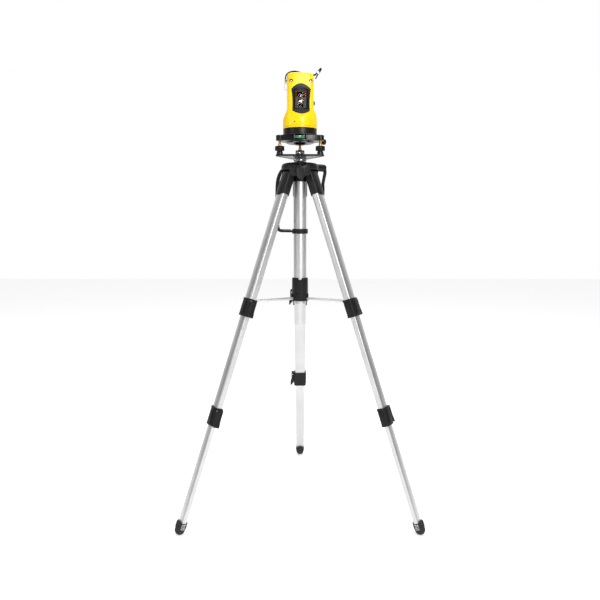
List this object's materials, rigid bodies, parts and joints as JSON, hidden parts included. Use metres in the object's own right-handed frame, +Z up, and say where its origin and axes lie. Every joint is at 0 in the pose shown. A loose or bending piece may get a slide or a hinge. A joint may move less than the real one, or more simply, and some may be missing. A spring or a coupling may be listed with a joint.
{
  "type": "laser level on tripod",
  "caption": "Cross-line laser level with a self-levelling pendulum on a levelling base, standing on a folding telescopic tripod.",
  "frame": {"origin": "on the floor at the middle of the three feet's bounding box; the stand's upright axis is at y = -0.0780 m", "axes": "+Z up along the stand's axis, -Y towards the laser's window, +X to the object's right seen from the front"},
  "size_m": [0.5634, 0.4909, 1.0509],
  "materials": {
    "yellow_shell": "glossy moulded yellow plastic",
    "black_plastic": "satin black moulded plastic",
    "bezel_plastic": "fine textured black plastic",
    "gloss_black": "gloss black enamel",
    "rubber": "matt black rubber",
    "anodised_tube": "satin anodised",
    "plated_steel": "bright zinc plate",
    "brass": "turned brass",
    "green_vial": "clear tube with green fluid",
    "lime_vial": "clear cell with yellow-green fluid",
    "webbing": "woven black webbing"
  },
  "bodies": {
    "stand": {"hub_body": "black_plastic", "hub_cap": "black_plastic", "bullseye_vial": "lime_vial", "centre_tube": "anodised_tube", "carry_handle": "black_plastic"},
    "elevator": {"column": "anodised_tube", "base_plate": "gloss_black"},
    "levelling_head": {"tribrach": "gloss_black", "degree_dial": "gloss_black", "tube_vial": "green_vial"},
    "clamp_screw": {"clamp_knob": "black_plastic"},
    "laser": {"housing_front": "yellow_shell", "housing_rear": "yellow_shell", "window_bezel": "bezel_plastic", "top_cap": "black_plastic", "base_ring": "black_plastic", "gimbal_bracket": "plated_steel", "wrist_strap": "webbing"},
    "battery_hatch": {"battery_cover": "yellow_shell"},
    "switch": {"switch_knob": "black_plastic"},
    "gimbal": {"gimbal_ring": "plated_steel"},
    "pendulum_block": {"pendulum": "brass"},
    "spreader_hub": {"brace_hub": "black_plastic"},
    "crank": {"crank_arm": "black_plastic"},
    "crank_knob": {"crank_grip": "black_plastic"},
    "column_lock": {"lock_wing": "black_plastic"},
    "level_screw_1": {"level_screw_1": "brass"},
    "level_screw_2": {"level_screw_2": "brass"},
    "level_screw_3": {"level_screw_3": "brass"},
    "rear_leg": {"rear_leg_socket": "black_plastic", "rear_upper_tube": "anodised_tube", "rear_upper_clamp": "black_plastic"},
    "rear_middle": {"rear_middle_tube": "anodised_tube", "rear_lower_clamp": "black_plastic"},
    "rear_lower": {"rear_lower_tube": "anodised_tube", "rear_foot": "rubber"},
    "rear_upper_lever": {"rear_upper_lever": "black_plastic"},
    "rear_lower_lever": {"rear_lower_lever": "black_plastic"},
    "rear_brace": {"rear_brace": "anodised_tube"},
    "left_leg": {"left_leg_socket": "black_plastic", "left_upper_tube": "anodised_tube", "left_upper_clamp": "black_plastic"},
    "left_middle": {"left_middle_tube": "anodised_tube", "left_lower_clamp": "black_plastic"},
    "left_lower": {"left_lower_tube": "anodised_tube", "left_foot": "rubber"},
    "left_upper_lever": {"left_upper_lever": "black_plastic"},
    "left_lower_lever": {"left_lower_lever": "black_plastic"},
    "left_brace": {"left_brace": "anodised_tube"},
    "right_leg": {"right_leg_socket": "black_plastic", "right_upper_tube": "anodised_tube", "right_upper_clamp": "black_plastic"},
    "right_middle": {"right_middle_tube": "anodised_tube", "right_lower_clamp": "black_plastic"},
    "right_lower": {"right_lower_tube": "anodised_tube", "right_foot": "rubber"},
    "right_upper_lever": {"right_upper_lever": "black_plastic"},
    "right_lower_lever": {"right_lower_lever": "black_plastic"},
    "right_brace": {"right_brace": "anodised_tube"}
  },
  "joints": [
    {"name": "column_lift", "type": "slide", "parent": "stand", "child": "elevator", "axis": [0, 0, 1], "range_m": [0, 0.18]},
    {"name": "crank_turn", "type": "hinge", "parent": "stand", "child": "crank", "pos_m": [0.05543, -0.046, 0.8245], "axis": [0.866, 0.5, 0], "range_deg": [-16, 16]},
    {"name": "crank_knob_spin", "type": "hinge", "parent": "crank", "child": "crank_knob", "pos_m": [0.0381, -0.056, 0.7645], "axis": [0.866, 0.5, 0], "continuous": true},
    {"name": "column_lock_turn", "type": "hinge", "parent": "stand", "child": "column_lock", "pos_m": [0, -0.1265, 0.812], "axis": [0, 1, 0], "range_deg": [-90, 90]},
    {"name": "level_screw_1_turn", "type": "hinge", "parent": "elevator", "child": "level_screw_1", "pos_m": [0, -0.0245, 0.858], "axis": [0, 0, 1], "range_deg": [-721, 721]},
    {"name": "level_screw_2_turn", "type": "hinge", "parent": "elevator", "child": "level_screw_2", "pos_m": [-0.04633, -0.10475, 0.858], "axis": [0, 0, 1], "range_deg": [-721, 721]},
    {"name": "level_screw_3_turn", "type": "hinge", "parent": "elevator", "child": "level_screw_3", "pos_m": [0.04633, -0.10475, 0.858], "axis": [0, 0, 1], "range_deg": [-721, 721]},
    {"name": "levelling_lift", "type": "slide", "parent": "elevator", "child": "levelling_head", "axis": [0, 0, 1], "range_m": [-0.0016, 0.0016]},
    {"name": "clamp_screw_turn", "type": "hinge", "parent": "levelling_head", "child": "clamp_screw", "pos_m": [0.0511, -0.0485, 0.8855], "axis": [0.866, 0.5, 0], "range_deg": [0, 180]},
    {"name": "head_turn", "type": "hinge", "parent": "levelling_head", "child": "laser", "pos_m": [0, -0.078, 0.8949], "axis": [0, 0, 1], "continuous": true},
    {"name": "battery_hatch_pull", "type": "slide", "parent": "laser", "child": "battery_hatch", "axis": [-0.0872, 0.9962, 0], "range_m": [0, 0.02]},
    {"name": "switch_turn", "type": "hinge", "parent": "laser", "child": "switch", "pos_m": [0.02974, -0.0754, 0.968], "axis": [0.9962, 0.0872, 0], "range_deg": [0, 90]},
    {"name": "gimbal_rock", "type": "hinge", "parent": "laser", "child": "gimbal", "pos_m": [0, -0.078, 1.004], "axis": [0.9962, 0.0872, 0], "range_deg": [-4, 4]},
    {"name": "pendulum_rock", "type": "hinge", "parent": "gimbal", "child": "pendulum_block", "pos_m": [0, -0.078, 1.004], "axis": [-0.0872, 0.9962, 0], "range_deg": [-4, 4]},
    {"name": "rear_leg_fold", "type": "hinge", "parent": "stand", "child": "rear_leg", "pos_m": [0, -0.046, 0.805], "axis": [-1, 0, 0], "range_deg": [0, 19.42]},
    {"name": "rear_middle_slide", "type": "slide", "parent": "rear_leg", "child": "rear_middle", "axis": [0, -0.3325, 0.9431], "range_m": [0, 0.211]},
    {"name": "rear_lower_slide", "type": "slide", "parent": "rear_middle", "child": "rear_lower", "axis": [0, -0.3325, 0.9431], "range_m": [0, 0.22071]},
    {"name": "rear_upper_lever_flip", "type": "hinge", "parent": "rear_leg", "child": "rear_upper_lever", "pos_m": [-0.0223, 0.0554, 0.51735], "axis": [0, 0.9431, 0.3325], "range_deg": [0, 100]},
    {"name": "rear_lower_lever_flip", "type": "hinge", "parent": "rear_middle", "child": "rear_lower_lever", "pos_m": [-0.0205, 0.14084, 0.27497], "axis": [0, 0.9431, 0.3325], "range_deg": [0, 100]},
    {"name": "left_leg_fold", "type": "hinge", "parent": "stand", "child": "left_leg", "pos_m": [-0.02771, -0.094, 0.805], "axis": [0.5, -0.866, 0], "range_deg": [0, 19.47]},
    {"name": "left_middle_slide", "type": "slide", "parent": "left_leg", "child": "left_middle", "axis": [0.2879, 0.1662, 0.9431], "range_m": [0, 0.211]},
    {"name": "left_lower_slide", "type": "slide", "parent": "left_middle", "child": "left_lower", "axis": [0.2879, 0.1662, 0.9431], "range_m": [0, 0.22071]},
    {"name": "left_upper_lever_flip", "type": "hinge", "parent": "left_leg", "child": "left_upper_lever", "pos_m": [-0.10438, -0.16401, 0.51735], "axis": [-0.8168, -0.4716, 0.3325], "range_deg": [0, 100]},
    {"name": "left_lower_lever_flip", "type": "hinge", "parent": "left_middle", "child": "left_lower_lever", "pos_m": [-0.17927, -0.20517, 0.27497], "axis": [-0.8168, -0.4716, 0.3325], "range_deg": [0, 100]},
    {"name": "right_leg_fold", "type": "hinge", "parent": "stand", "child": "right_leg", "pos_m": [0.02771, -0.094, 0.805], "axis": [0.5, 0.866, 0], "range_deg": [0, 19.47]},
    {"name": "right_middle_slide", "type": "slide", "parent": "right_leg", "child": "right_middle", "axis": [-0.2879, 0.1662, 0.9431], "range_m": [0, 0.211]},
    {"name": "right_lower_slide", "type": "slide", "parent": "right_middle", "child": "right_lower", "axis": [-0.2879, 0.1662, 0.9431], "range_m": [0, 0.22071]},
    {"name": "right_upper_lever_flip", "type": "hinge", "parent": "right_leg", "child": "right_upper_lever", "pos_m": [0.12668, -0.12539, 0.51735], "axis": [0.8168, -0.4716, 0.3325], "range_deg": [0, 100]},
    {"name": "right_lower_lever_flip", "type": "hinge", "parent": "right_middle", "child": "right_lower_lever", "pos_m": [0.19977, -0.16967, 0.27497], "axis": [0.8168, -0.4716, 0.3325], "range_deg": [0, 100]},
    {"name": "spreader_slide", "type": "slide", "parent": "stand", "child": "spreader_hub", "axis": [0, 0, 1], "range_m": [0, 0.08778]},
    {"name": "rear_brace_swing", "type": "hinge", "parent": "spreader_hub", "child": "rear_brace", "pos_m": [0, -0.0588, 0.516], "axis": [-1, 0, 0], "range_deg": [0, 89.7]},
    {"name": "left_brace_swing", "type": "hinge", "parent": "spreader_hub", "child": "left_brace", "pos_m": [-0.01663, -0.0876, 0.516], "axis": [0.5, -0.866, 0], "range_deg": [0, 89.7]},
    {"name": "right_brace_swing", "type": "hinge", "parent": "spreader_hub", "child": "right_brace", "pos_m": [0.01663, -0.0876, 0.516], "axis": [0.5, 0.866, 0], "range_deg": [0, 89.7]}
  ],
  "couplings": [
    {"joint": "level_screw_1_turn", "follows": "levelling_lift", "rad_per_m": 7854},
    {"joint": "level_screw_2_turn", "follows": "levelling_lift", "rad_per_m": 7854},
    {"joint": "level_screw_3_turn", "follows": "levelling_lift", "rad_per_m": 7854},
    {"joint": "left_leg_fold", "follows": "rear_leg_fold", "ratio": 1},
    {"joint": "right_leg_fold", "follows": "rear_leg_fold", "ratio": 1},
    {"joint": "spreader_slide", "follows": "rear_leg_fold", "m_per_rad": 0.25753},
    {"joint": "rear_brace_swing", "follows": "rear_leg_fold", "ratio": 4.609},
    {"joint": "left_brace_swing", "follows": "rear_leg_fold", "ratio": 4.609},
    {"joint": "right_brace_swing", "follows": "rear_leg_fold", "ratio": 4.609}
  ]
}
